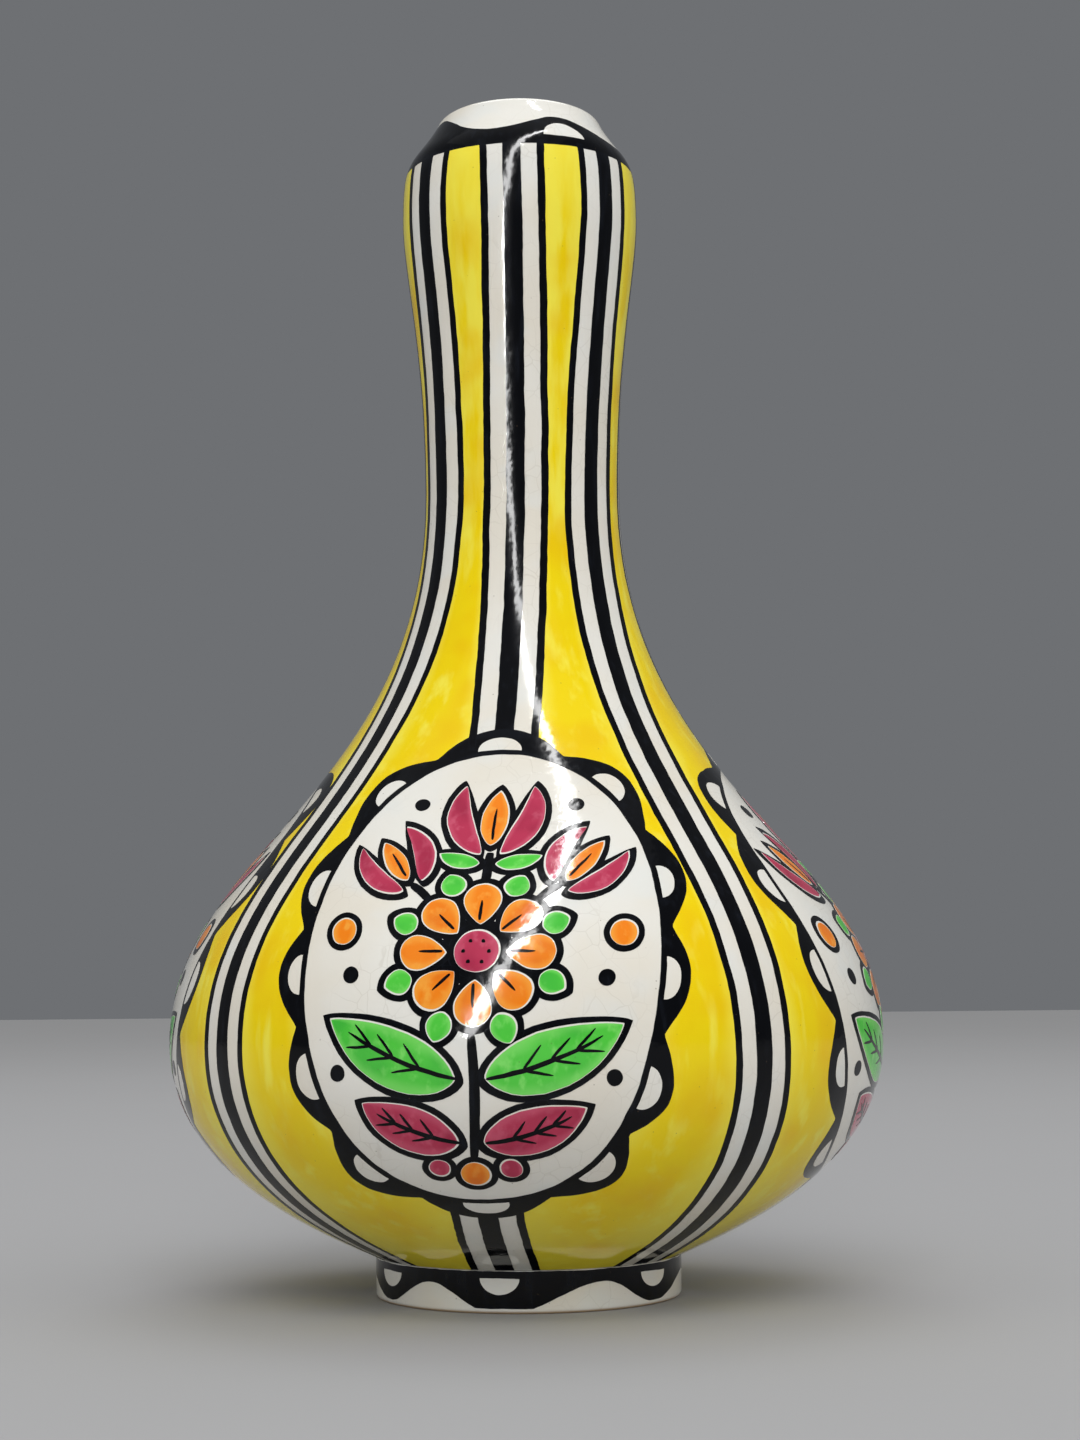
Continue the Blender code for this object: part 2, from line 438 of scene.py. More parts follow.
# %% [markdown]
# ## The outline
# Everything on this vase follows one curve: foot, full belly, long S into a waisted neck, a bulge, and a
# lip. It could be a chain of measured points. Six stations with Bezier handles say the same in words a
# potter would use: how wide, how high, and how full between. The values are the CAD part's, in millimetres.

# %% Stations of the outline
FOOT_RADIUS = 30.4
FOOT_HEIGHT = 8.0
BELLY_RADIUS = cad_box[1].x / MM
BELLY_HEIGHT = 50.5
WAIST_RADIUS = 20.0
WAIST_HEIGHT = 161.0
BULGE_RADIUS = 24.4
BULGE_HEIGHT = 218.0
LIP_RADIUS = 15.0
LIP_HEIGHT = cad_box[1].z / MM
BELLY_FULLNESS = (0.28, 0.61)
SHOULDER_FULLNESS = (0.34, 0.56)
NECK_FULLNESS = (0.53, 0.18)
MOUTH_FULLNESS = (0.67, 0.54)
BASE_FLARE = math.radians(25.0)
LIP_SLOPE = math.radians(60.0)
WALL = 4.5

UP = np.array([0.0, 1.0])
FLARE = np.array([math.cos(BASE_FLARE), math.sin(BASE_FLARE)])
CLOSING = np.array([-math.cos(LIP_SLOPE), math.sin(LIP_SLOPE)])


def unit(ways):
    """The same directions, each 1 long."""
    return ways / np.linalg.norm(ways, axis=-1, keepdims=True)


def leftward(ways):
    """The same directions, each a quarter turn to the left."""
    return np.stack([-ways[..., 1], ways[..., 0]], axis=-1)


def outline_stations():
    """Places from the table to the lip, each as (place, handle behind, handle ahead)."""
    table = np.array([FOOT_RADIUS, 0.0])
    foot = table + FOOT_HEIGHT * UP
    belly = np.array([BELLY_RADIUS, BELLY_HEIGHT])
    waist = np.array([WAIST_RADIUS, WAIST_HEIGHT])
    bulge = np.array([BULGE_RADIUS, BULGE_HEIGHT])
    lip = np.array([LIP_RADIUS, LIP_HEIGHT - WALL / 2]) - WALL / 2 * leftward(CLOSING)
    rises = np.diff([FOOT_HEIGHT, BELLY_HEIGHT, WAIST_HEIGHT, BULGE_HEIGHT, LIP_HEIGHT])
    low, high = rises * np.transpose([BELLY_FULLNESS, SHOULDER_FULLNESS, NECK_FULLNESS, MOUTH_FULLNESS])
    return [
        (table, table, table + UP),
        (foot, foot - UP, foot + low[0] * FLARE),
        (belly, belly - high[0] * UP, belly + low[1] * UP),
        (waist, waist - high[1] * UP, waist + low[2] * UP),
        (bulge, bulge - high[2] * UP, bulge + low[3] * UP),
        (lip, lip - high[3] * CLOSING, lip),
    ]


class Wall:
    """The outline above the foot, walked by its length in millimetres. Depths go square to it."""

    def __init__(self, stations, samples=400):
        pieces = []
        for (start, _, ahead), (end, behind, _) in zip(stations, stations[1:]):
            curve = interpolate_bezier(*(Vector(p) for p in (start, ahead, behind, end)), samples)
            pieces.append(np.array(curve)[1 if pieces else 0:])
        self.points = np.concatenate(pieces)
        steps = np.linalg.norm(np.diff(self.points, axis=0), axis=1)
        self.lengths = np.concatenate([[0.0], np.cumsum(steps)])
        self.inward = leftward(unit(np.gradient(self.points, self.lengths, axis=0)))
        self.end = self.lengths[-1]

    def length_at(self, height):
        return float(np.interp(height, self.points[:, 1], self.lengths))

    def read(self, rows, lengths):
        """Rows that go with the outline's points, read at these lengths."""
        return np.stack([np.interp(lengths, self.lengths, column) for column in rows.T], axis=-1)

    def at(self, lengths, depth):
        """Radius and height these lengths up the outline and this deep in the wall."""
        inward = self.read(self.inward, lengths)
        return self.read(self.points, lengths) + inward * np.reshape(depth, (-1, 1))


stations = outline_stations()
wall = Wall(stations[1:])
print(f"the outline is {wall.end:.1f} mm long from the foot ring to the lip")

# %% [markdown]
# ## The clay
# A turned section is its outline carried round the axis. A Screw or Spin would do it. A small Geometry
# Nodes tree does it from the outline's bare points: its grid has a row for each point and a column for each
# step of the wheel, and the tree closes the seam by itself.

# %% Tree that turns an outline
JOIN = 0.001 * MM


def turning_tree():
    g = ShapeGraph("turned section")
    rows = g.input("Rows", "Int")
    steps = g.input("Turn steps", "Int")
    material = g.input("Material", "Material")
    grid = g.step("MeshGrid", {"Vertices X": steps + 1.0, "Vertices Y": rows})
    index = g.step("InputIndex")
    step = g.math("FLOOR", (index + 0.5) / rows)
    row = index - step * rows
    point = g.parts(g.given(g.math("MODULO", row, g.count()) + 0.5))
    turned = g.turned(point.of("X"), step / steps * math.tau, point.of("Z"))
    laid = g.step("SetPosition", {"Geometry": grid, "Position": turned})
    outwards = g.step("FlipFaces", {"Mesh": g.join(laid, JOIN)})
    return g.finish(outwards, material)


# %% [markdown]
# The five sections keep the seams of the CAD part, at the same heights. In the CAD solids a film of slip
# stands between them; on the fired vase it is gone, so here each section runs right up to the next. The
# outside lies a hair's breadth under the CAD surface, and the enamel fills that.

# %% Outlines of the five sections
GLAZE_DEPTH = 0.12
LIP_RUN = 2.0
BELLY_SEAM = wall.length_at(BELLY_HEIGHT)
NECK_SEAM = wall.length_at(height=120.5)
MOUTH_SEAM = wall.length_at(height=201.0)
ROW = 0.9
INNER_ROW = 2.0
SEAM_ROW = 0.03
FOOT_WIDTH = 7.0
FOOT_ROUND = 1.0
FOOT_SPANS = 8
BOSS_RADIUS = 23.1
RECESS_HEIGHT = 6.0
FLOOR_HEIGHT = 10.95
FLOOR_MIDDLE = 13.5
FLOOR_EDGE = (25.0, 11.05)
LIP_FROM = 210.0
LIP_TO = 30.0
LIP_SPANS = 20


def steps_along(start, end, row):
    """Lengths a row apart, with one close to each end so that shading runs on over a seam."""
    inner = np.linspace(start, end, max(2, round(abs(end - start) / row)) + 1)
    near = math.copysign(SEAM_ROW, end - start)
    return np.concatenate([[start, start + near], inner[1:-1], [end - near, end]])


def outside(start, end):
    lengths = steps_along(start, end, ROW)
    return wall.at(lengths, np.interp(lengths, [wall.end - LIP_RUN, wall.end], [GLAZE_DEPTH, 0.0]))


def inside(start, end):
    return wall.at(steps_along(start, end, INNER_ROW), WALL)


def arc(centre, radius, start, end, spans):
    angles = np.radians(np.linspace(start, end, spans + 1))
    return np.stack([centre[0] + radius * np.cos(angles), centre[1] + radius * np.sin(angles)], axis=1)


def foot_outline():
    outer = FOOT_RADIUS - GLAZE_DEPTH
    inner = FOOT_RADIUS - FOOT_WIDTH
    down = [(outer, height) for height in np.linspace(FOOT_HEIGHT, FOOT_ROUND, FOOT_SPANS + 1)[:-1]]
    outer_round = arc((outer - FOOT_ROUND, FOOT_ROUND), FOOT_ROUND, 0.0, -90.0, FOOT_SPANS)
    inner_round = arc((inner + FOOT_ROUND, FOOT_ROUND), FOOT_ROUND, -90.0, -180.0, FOOT_SPANS)
    return np.concatenate([down, outer_round, inner_round, [(inner, FOOT_HEIGHT)]])


def lower_body_outline():
    floor = [(0.0, FLOOR_HEIGHT), (FLOOR_MIDDLE, FLOOR_HEIGHT), FLOOR_EDGE]
    under = [(BOSS_RADIUS, FOOT_HEIGHT), (BOSS_RADIUS, RECESS_HEIGHT), (0.0, RECESS_HEIGHT)]
    return np.concatenate([floor, inside(0.0, BELLY_SEAM), outside(BELLY_SEAM, 0.0), under])


def ring_outline(low, high):
    return np.concatenate([outside(high, low), inside(low, high)])


def mouth_outline():
    centre = wall.at([wall.end], WALL / 2)[0]
    lip = arc(centre, WALL / 2, LIP_FROM, LIP_TO, LIP_SPANS)
    return np.concatenate([ring_outline(MOUTH_SEAM, wall.end), lip[1:-1]])


print("seams in mm up the wall:", [round(seam, 1) for seam in (BELLY_SEAM, NECK_SEAM, MOUTH_SEAM)])

# %% Turn the five sections
TURN_STEPS = 240
sections = {
    "foot_ring": (foot_outline(), True),
    "lower_body": (lower_body_outline(), False),
    "upper_body": (ring_outline(BELLY_SEAM, NECK_SEAM), True),
    "neck": (ring_outline(NECK_SEAM, MOUTH_SEAM), True),
    "mouth_ring": (mouth_outline(), True),
}
turning = turning_tree()
for node, (outline, is_loop) in sections.items():
    points = [(radius * MM, 0.0, height * MM) for radius, height in outline]
    rows = len(points) + int(is_loop)
    values = {"Rows": rows, "Turn steps": TURN_STEPS, "Material": finishes["cream_glaze"]}
    section = grow("glazed_" + node, points, turning, values)
    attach(section, "root")
    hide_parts(node)
    print(section.name, len(section.data.polygons), "faces")

# %% [markdown]
# ## Laying enamel on the wall
# A brush mark is a coat of glass a few hundredths of a millimetre thick. It could be a colour in the clay's
# material, but then its edge is only as sharp as a baked texture. Here every mark is a thin pad of its own
# that lies on the wall. A mark is drawn flat, as a painter would on paper: a left and a right border, in
# millimetres across from the middle line of its panel and millimetres up the wall.
#
# The tree has two steps. The first makes a closed pad for each mark, where every point knows its place in
# the pad. The second spans the pad between the borders, moves it by a little noise, as a hand does, and
# lays it round the vase: the distance up the wall finds a place on the outline, and the distance across,
# divided by the radius there, becomes an angle.

# %% Tree that lays enamel
PAD_JOIN = 1e-5
SHAKE_DETAIL = 4.0
SHAKE_ROUGHNESS = 0.75
END_FADE = 4.0
OUTLINE_STEPS = 160


def pads_for_marks(g, border_points, columns, goes_round):
    """A closed pad, one unit each way, for each mark. One that goes round has no end walls."""
    grid = g.step("MeshGrid", {"Vertices X": columns + 1.0, "Vertices Y": border_points})
    raised = g.step("ExtrudeMesh", {"Mesh": grid, "Offset Scale": 1.0, "Individual": False})
    under = g.step("FlipFaces", {"Mesh": grid})
    pad = g.join(g.step("JoinGeometry", {"Geometry": [raised, under]}), PAD_JOIN)
    lengthwise = g.math("ABSOLUTE", g.parts(g.step("InputNormal")).of("Y"))
    end_wall = g.math("GREATER_THAN", lengthwise, 0.5) * goes_round
    pad = g.step("DeleteGeometry", {"Geometry": pad, "Selection": end_wall}, domain="FACE")
    pad = g.store(pad, "in pad", "FLOAT_VECTOR", g.step("InputPosition"))
    marks = g.step("Points", {"Count": g.count() / (border_points * 2.0) + 0.5})
    pads = g.step("InstanceOnPoints", {"Points": marks, "Instance": pad})
    pads = g.store(pads, "mark", "INT", g.step("InputIndex"), "INSTANCE")
    return g.step("RealizeInstances", {"Geometry": pads})


def enamel_tree():
    g = ShapeGraph("laid enamel")
    border_points = g.input("Border points", "Int")
    columns = g.input("Columns", "Int")
    goes_round = g.input("Goes round", "Bool")
    outline = g.input("Outline", "Object")
    foot_height = g.input("Foot height", "Float")
    bed = g.input("Bed", "Float")
    face = g.input("Face", "Float")
    stray = g.input("Stray", "Float")
    stray_size = g.input("Stray size", "Float")
    material = g.input("Material", "Material")

    pads = pads_for_marks(g, border_points, columns, goes_round)
    in_pad = g.parts(g.stored("in pad", "FLOAT_VECTOR"))
    mark = g.stored("mark", "INT")
    row = (in_pad.of("Y") + 0.5) * (border_points - 1.0)

    def border(side):
        """The place on this side's border that is level with the row."""
        return g.given((mark * 2.0 + side) * border_points + row + 0.5)

    span = {"Factor": in_pad.of("X") + 0.5, "A": border(0.0), "B": border(1.0)}
    drawn = g.parts(g.node("Mix", span, data_type="VECTOR"))
    curve = g.step("ObjectInfo", {"Object": outline}, "Geometry")

    def on_wall(up):
        """The outline's place and direction this far above the foot ring."""
        found = g.step("SampleCurve", {"Curves": curve, "Length": up + foot_height}, mode="LENGTH")
        return g.parts(found.of("Position")), g.parts(found.of("Tangent"))

    meant, _ = on_wall(drawn.of("Y"))
    shake = {
        "Vector": g.turned(meant.of("X"), drawn.of("Z") + drawn.of("X") / meant.of("X"), meant.of("Z")),
        "Scale": 1.0 / stray_size,
        "Detail": SHAKE_DETAIL,
        "Roughness": SHAKE_ROUGHNESS,
    }
    shaken = g.parts(g.node("TexNoise", shake, "Color"))
    aside = drawn.of("X") + (shaken.of("X") - 0.5) * stray
    place, along = on_wall(drawn.of("Y") + (shaken.of("Y") - 0.5) * stray)
    lift = bed + in_pad.of("Z") * (face - bed)
    radius = place.of("X") + lift * along.of("Z")
    wrapped = g.turned(radius, drawn.of("Z") + aside / place.of("X"), place.of("Z") - lift * along.of("X"))
    laid = g.step("SetPosition", {"Geometry": pads, "Position": wrapped})
    to_end = 1.0 - g.math("POWER", g.math("ABSOLUTE", in_pad.of("Y") * 2.0), END_FADE)
    to_side = 1.0 - g.math("ABSOLUTE", in_pad.of("X") * 2.0)
    laid = g.join(g.store(laid, "from edge", "FLOAT", to_side * to_end), JOIN)
    for name in ("in pad", "mark"):
        laid = g.step("RemoveAttribute", {"Geometry": laid, "Name": name})
    return g.finish(laid, material)


def outline_curve():
    """The outline as a Bezier curve that the tree can walk along."""
    curve = bpy.data.curves.new("outline", "CURVE")
    curve.dimensions = "3D"
    curve.resolution_u = OUTLINE_STEPS
    spline = curve.splines.new("BEZIER")
    spline.bezier_points.add(len(stations) - 1)
    for knot, station in zip(spline.bezier_points, stations):
        knot.handle_left_type = "FREE"
        knot.handle_right_type = "FREE"
        for part, (radius, height) in zip(("co", "handle_left", "handle_right"), station):
            setattr(knot, part, (radius * MM, 0.0, height * MM))
    return placed("outline", curve)


# %% [markdown]
# ## Drawing flat
# Eight striped columns run up the vase, an eighth of a turn apart, and every second one carries a
# medallion. Spaced by eye, they lean and stray a little. A column's angle is therefore a smooth line
# through five places, foot to mouth, and each medallion has its own width.

# %% Panels, and a sheet to draw on
PANELS = 8
MEDALLIONS = {0: 1.0, 2: 1.1, 4: 1.04, 6: 1.0}
LEAN_AT = (0.0, 62.0, 130.0, 190.0, 250.0)
LEAN = (-8.0, -7.2, -5.7, -3.3, -3.2)
STRAY_OF_PANEL = (
    (0.0, 0.0, 0.0, 0.0, 0.0),
    (7.0, -0.9, -0.5, 3.1, 4.3),
    (3.0, 1.3, 3.6, 8.5, 9.5),
    (0.5, 0.8, 2.0, 5.4, 5.8),
    (-0.4, 0.3, 0.9, 2.3, 2.5),
    (0.6, -0.5, -0.2, -0.8, -0.6),
    (0.5, 2.0, 0.0, -4.0, -5.0),
    (-3.0, 0.8, -2.3, -6.0, -3.8),
)
hand = random.Random(7)


def panel_angle(panel, up):
    """Angle of a panel's middle line, from the front to the right, at these lengths up the wall."""
    through = np.array(LEAN) + np.array(STRAY_OF_PANEL[panel])
    bend = np.polynomial.Polynomial.fit(LEAN_AT, through, len(LEAN_AT) - 1)
    return panel * math.tau / PANELS + np.radians(bend(np.asarray(up, float)))


class Sheet:
    """Marks of one paint, drawn flat. All their borders have the same number of points."""

    def __init__(self, border_points):
        self.border_points = border_points
        self.share = np.linspace(0.0, 1.0, border_points)
        self.eased = (1.0 - np.cos(math.pi * self.share)) / 2
        self.borders = []

    def mark(self, left, right):
        """Adds a mark. Borders hold (across, up, angle), and change places if the mark is inside out."""
        ring = np.concatenate([left, right[::-1]])
        x = ring[:, 0] + ring[:, 2] * BELLY_RADIUS
        y = ring[:, 1]
        area = np.dot(x, np.roll(y, -1)) - np.dot(y, np.roll(x, -1))
        self.borders += [right, left] if area > 0 else [left, right]

    def on_panel(self, panel, left, right):
        """Adds a mark whose borders hold (across, up) from a panel's middle line."""
        self.mark(*(np.column_stack([side, panel_angle(panel, side[:, 1])]) for side in (left, right)))

    def points(self):
        return np.concatenate(self.borders) * np.array([MM, MM, 1.0])


print("the front column leans by", np.degrees(panel_angle(0, LEAN_AT)).round(1), "degrees, foot to mouth")

# %% [markdown]
# ### Columns and yellow ground
# A column is five stripes wide: a thin black line, white, a thick black line, white, and a thin black line.
# White is bare glaze, so only the black is painted. It keeps its width from foot to mouth, which is why the
# yellow between the columns narrows up the neck. The yellow goes on first and ends under the black, as a
# painter hides an edge.

# %% Stripes
THIN_LINE = 1.5
WHITE_LINE = 3.25
THICK_LINE = 3.7
OUTER_LINE = THICK_LINE / 2 + WHITE_LINE + THIN_LINE / 2
LINES = {-OUTER_LINE: THIN_LINE, 0.0: THICK_LINE, OUTER_LINE: THIN_LINE}
PAINT_LOW = 0.1
BAND_LOW = 254.4
STRIPE_TOP = BAND_LOW + 1.0
GROUND_TOP = BAND_LOW + 0.9
OVAL_UP = 78.5
OVAL_HALF_WIDTH = 33.0
OVAL_HALF_HEIGHT = 47.3
VALLEY = 2.3
LOBE = 6.4
BORDER_HALF_WIDTH = OVAL_HALF_WIDTH + VALLEY / 2
BORDER_HALF_HEIGHT = OVAL_HALF_HEIGHT + VALLEY / 2

stripes = Sheet(border_points=241)


def column(panel, low, high):
    up = low + stripes.share * (high - low)
    for middle, width in LINES.items():
        edges = (middle - width / 2, middle + width / 2)
        stripes.on_panel(panel, *(np.column_stack([np.full_like(up, edge), up]) for edge in edges))


for panel in range(PANELS):
    if panel in MEDALLIONS:
        column(panel, PAINT_LOW, OVAL_UP - BORDER_HALF_HEIGHT)
        column(panel, OVAL_UP + BORDER_HALF_HEIGHT, STRIPE_TOP)
    else:
        column(panel, PAINT_LOW, STRIPE_TOP)
print(len(stripes.borders) // 2, "stripes")

# %% Yellow ground
ground = Sheet(border_points=241)


def painted_half(panel, up):
    """How far from a panel's middle line its black reaches, to the middle of the outermost line."""
    half = np.full_like(up, OUTER_LINE)
    if panel in MEDALLIONS:
        rise = np.clip((up - OVAL_UP) / BORDER_HALF_HEIGHT, -1.0, 1.0)
        half = np.maximum(half, BORDER_HALF_WIDTH * MEDALLIONS[panel] * np.sqrt(1.0 - rise ** 2))
    return half


for panel in range(PANELS):
    up = PAINT_LOW + ground.share * (GROUND_TOP - PAINT_LOW)
    after = (panel + 1) % PANELS
    full_turn = math.tau if after == 0 else 0.0
    left = np.column_stack([painted_half(panel, up), up, panel_angle(panel, up)])
    right = np.column_stack([-painted_half(after, up), up, panel_angle(after, up) + full_turn])
    ground.mark(left, right)
print(len(ground.borders) // 2, "yellow fields")

# %% [markdown]
# ### Borders of scallops
# Each medallion is an oval of bare glaze in a black border. Its outer edge rises and falls in twelve round
# lobes with narrow valleys, and a white half-moon sits in each lobe with its flat side to the oval. The
# same ornament rings the mouth and the foot.

# %% Medallion borders
OVAL_SAMPLES = 2001
SCALLOP_SHIFT = (-0.02, 0.07, 0.28, 0.2, 0.11, -0.04, -0.01, 0.02, 0.0, -0.14, -0.3, -0.1)
SCALLOPS = len(SCALLOP_SHIFT)
LOBE_SIZES = (0.9, 1.12)
LOBE_POWER = 1.1
MOON_GAP = 1.15
MOON_HALF = 3.95
MOON_DEPTH = 3.1
MOON_SIZES = (0.92, 1.06)

rings = Sheet(border_points=481)
moons = Sheet(border_points=21)
moon_run = 2.0 * moons.eased - 1.0
moon_rise = np.sqrt(1.0 - moon_run ** 2)


def ellipse(turn, wide, tall):
    return np.stack([wide * np.sin(turn), tall * np.cos(turn)], axis=1)


oval_turn = np.linspace(0.0, math.tau, OVAL_SAMPLES)
oval_steps = np.diff(ellipse(oval_turn, OVAL_HALF_WIDTH, OVAL_HALF_HEIGHT), axis=0)
oval_length = np.concatenate([[0.0], np.cumsum(np.linalg.norm(oval_steps, axis=1))])


def oval(share, out):
    """Places these shares of the way round the oval, clockwise from its top, and this far outside."""
    turn = np.interp(share * oval_length[-1], oval_length, oval_turn)
    square = unit(ellipse(turn, OVAL_HALF_HEIGHT, OVAL_HALF_WIDTH))
    place = ellipse(turn, OVAL_HALF_WIDTH, OVAL_HALF_HEIGHT) + np.array([0.0, OVAL_UP])
    return place + square * np.reshape(out, (-1, 1))


lobes = [number + shift for number, shift in enumerate(SCALLOP_SHIFT)]
round_lobes = [lobes[-1] - SCALLOPS, *lobes, lobes[0] + SCALLOPS, lobes[1] + SCALLOPS]
phase = np.interp(rings.share * SCALLOPS, round_lobes, range(-1, SCALLOPS + 2))
lobed = np.abs(np.cos(math.pi * phase)) ** LOBE_POWER
for panel, wide in MEDALLIONS.items():
    stretch = np.array([wide, 1.0])
    swell = np.array([hand.uniform(*LOBE_SIZES) for _ in lobes])
    out = VALLEY + (LOBE - VALLEY) * lobed * swell[np.round(phase).astype(int) % SCALLOPS]
    rings.on_panel(panel, oval(rings.share, 0.0) * stretch, oval(rings.share, out) * stretch)
    for lobe in lobes:
        size = hand.uniform(*MOON_SIZES)
        share = (lobe / SCALLOPS + moon_run * MOON_HALF * size / oval_length[-1]) % 1.0
        flat_side = oval(share, MOON_GAP)
        round_side = oval(share, MOON_GAP + MOON_DEPTH * size * moon_rise)
        moons.on_panel(panel, flat_side * stretch, round_side * stretch)
print(len(rings.borders) // 2, "medallion borders")

# %% [markdown]
# The bands at mouth and foot go right round, so they are drawn by angle alone. One edge is level. The other
# swings through listed places: a lobe and a hollow in turn, each an angle in degrees and a length up the
# wall.

# %% Bands at mouth and foot
MOUTH_WAVE = (
    (-64.0, 266.3), (-14.0, 258.7), (24.0, 263.2), (68.0, 258.4),
    (113.0, 263.4), (155.0, 258.6), (196.0, 263.0), (238.0, 258.8),
)
MOUTH_MOON = (256.8, 261.0)
MOUTH_MOON_HALF = 11.5
FOOT_WAVE = (
    (-60.0, -7.0), (-38.0, -2.6), (-10.0, -8.4), (28.0, -2.4), (52.0, -7.2), (82.0, -2.6),
    (113.0, -8.0), (146.0, -2.5), (175.0, -7.4), (204.0, -2.6), (236.0, -8.2), (270.0, -2.5),
)
FOOT_BAND_TOP = -0.15
FOOT_BAND_LOW = -7.05
FOOT_MOON = (-1.5, -4.4)
FOOT_MOON_HALF = 7.4
BAND_MOON_SIZES = (0.92, 1.08)

bands = Sheet(border_points=361)


def by_angle(up, degrees):
    across = np.zeros_like(degrees)
    return np.column_stack([across, across + up, np.radians(degrees)])


def swing(wave, degrees):
    """A smooth line round the vase, level at each place of the wave."""
    angles, heights = np.array(wave).T
    step = np.interp(degrees, [*angles, angles[0] + 360.0], range(len(wave) + 1))
    before = np.floor(step).astype(int)
    share = (1.0 - np.cos(math.pi * (step - before))) / 2
    return heights[before % len(wave)] * (1.0 - share) + heights[(before + 1) % len(wave)] * share


def band(edge, wave, moon, moon_half, plain=0):
    """A black band from a level edge to a wave, with a half-moon in each lobe after the plain ones."""
    degrees = wave[0][0] + bands.share * 360.0
    waved = np.maximum(swing(wave, degrees), FOOT_BAND_LOW)
    bands.mark(by_angle(edge, degrees), by_angle(waved, degrees))
    for lobe, _ in wave[2 * plain::2]:
        around = lobe + moon_run * moon_half * hand.uniform(*BAND_MOON_SIZES)
        rounded = moon[0] + (moon[1] - moon[0]) * moon_rise
        moons.mark(by_angle(moon[0], around), by_angle(rounded, around))


band(BAND_LOW, MOUTH_WAVE, MOUTH_MOON, MOUTH_MOON_HALF, plain=1)
band(FOOT_BAND_TOP, FOOT_WAVE, FOOT_MOON, FOOT_MOON_HALF)
print(len(moons.borders) // 2, "half-moons")

# %% [markdown]
# ### Posies
# In each oval stands a posy of plain garden flowers: a daisy in the middle, three tulips, leaves and
# berries. Every cell of colour is one two-sided shape, a leaf or a petal: a middle line from base to tip,
# and a half width that swells between them. The painter draws black outlines first and fills them after,
# never quite up to the line. So each cell is the same shape three times: large in black, smaller in bare
# glaze, and a hair smaller still in colour.

# %% Petals, leaves and brush lines
outlines = Sheet(border_points=21)
bare_edges = Sheet(border_points=21)
cells = {paint: Sheet(border_points=21) for paint in ("green", "orange", "crimson")}
veins = Sheet(border_points=17)
OUTLINE = 1.2
BARE_EDGE = 0.22
SLIP = 0.3
FILL_SLIP = 0.14
ROUND = (0.5, 0.5)
PETAL = (0.45, 0.8)
DAISY_PETAL = (0.62, 0.55)
SEPAL = (0.45, 0.7)
LEAF = (0.42, 0.85)
VEIN = (0.35, 0.4)
STEM = (0.5, 0.15)


def middle_line(base, tip, bow, share):
    """The place this share of the way from base to tip, on a line that bows to the left."""
    axis = np.subtract(tip, base)
    return base + share * axis + 4.0 * bow * share * (1.0 - share) * unit(leftward(axis))


def petal(sheet, base, tip, half, bow=0.0, shape=ROUND):
    """Two sides of a petal. Its shape says where it is widest and how pointed it is; 0.5 is round."""
    fullest, point = shape
    along = sheet.eased[:, None]
    middle = middle_line(base, tip, bow, along)
    square = leftward(unit(np.gradient(middle, sheet.share, axis=0)))
    skew = along ** (math.log(0.5) / math.log(fullest))
    swell = half * np.clip(4.0 * skew * (1.0 - skew), 0.0, 1.0) ** point
    return middle + square * swell, middle - square * swell


def slip(most):
    """How far a hand misses the place it aims at."""
    return np.array([hand.uniform(-most, most), hand.uniform(-most, most)])


def compass(angle):
    """A direction, turned from straight up towards the right."""
    return np.array([math.sin(angle), math.cos(angle)])


def poles(middle, radius):
    """The lowest and the highest place of a dot."""
    up = np.array([0.0, radius])
    return np.subtract(middle, up), np.add(middle, up)


# %% Flowers and leaves
MIDRIB = 0.84
MIDRIB_WIDTH = 0.9
VEINS_AT = (0.26, 0.46, 0.64)
VEIN_GAP = 0.1
VEIN_RISE = 0.17
VEIN_REACH = 0.62
VEIN_TAPER = 0.55
VEIN_WIDTH = 0.55
PETAL_VEIN_WIDTH = 0.6
DAISY_VEIN_GAP = 0.8
DAISY_VEIN_REACH = 0.6
HEART_GAP = 1.1
HEART_RIM = 2.4
SEPAL_FROM = 0.88
SEPAL_TO = 1.27
SEPAL_HALF = 0.17
SEEDS = 6
SEEDS_AT = 0.55
SEED_RADIUS = 0.35
TULIP_ROOT = 1.9
TULIP_HALF = 0.15
TULIP_SPREAD = 0.36
TULIP_BOW = 0.14
TULIP_MIDDLE = (0.12, 0.92)
TULIP_VEIN = (0.2, 0.66)


